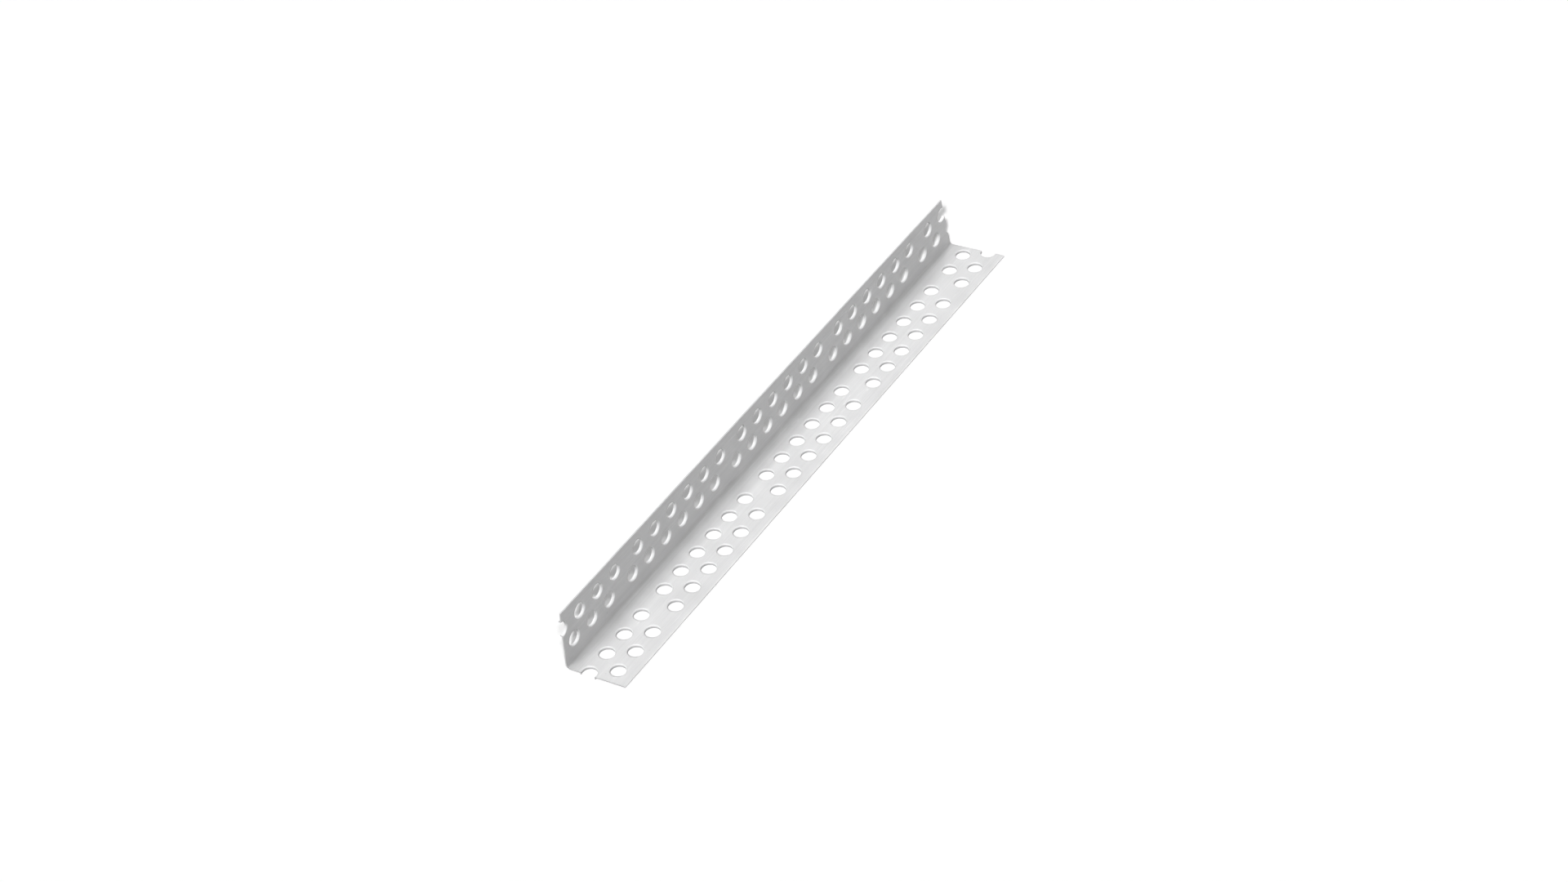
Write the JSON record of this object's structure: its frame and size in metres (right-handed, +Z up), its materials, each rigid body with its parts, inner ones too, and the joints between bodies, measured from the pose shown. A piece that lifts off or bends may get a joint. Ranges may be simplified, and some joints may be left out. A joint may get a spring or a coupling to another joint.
{
  "type": "drywall corner bead",
  "caption": "Thin metal angle with equal perforated flanges and staggered rows of lipped round holes, set over the outside corner of a boarded wall to protect it.",
  "frame": {"origin": "middle of the bounding box on the floor, under the lip rims of the lying flange", "axes": "+X along the fold from the near cut to the far cut, +Z up along the upright flange, which stands at +Y"},
  "size_m": [0.2215, 0.0208, 0.0207],
  "materials": {
    "mill_aluminium": "satin mill finish"
  },
  "bodies": {
    "root": {"corner_bead": "mill_aluminium"}
  },
  "joints": []
}
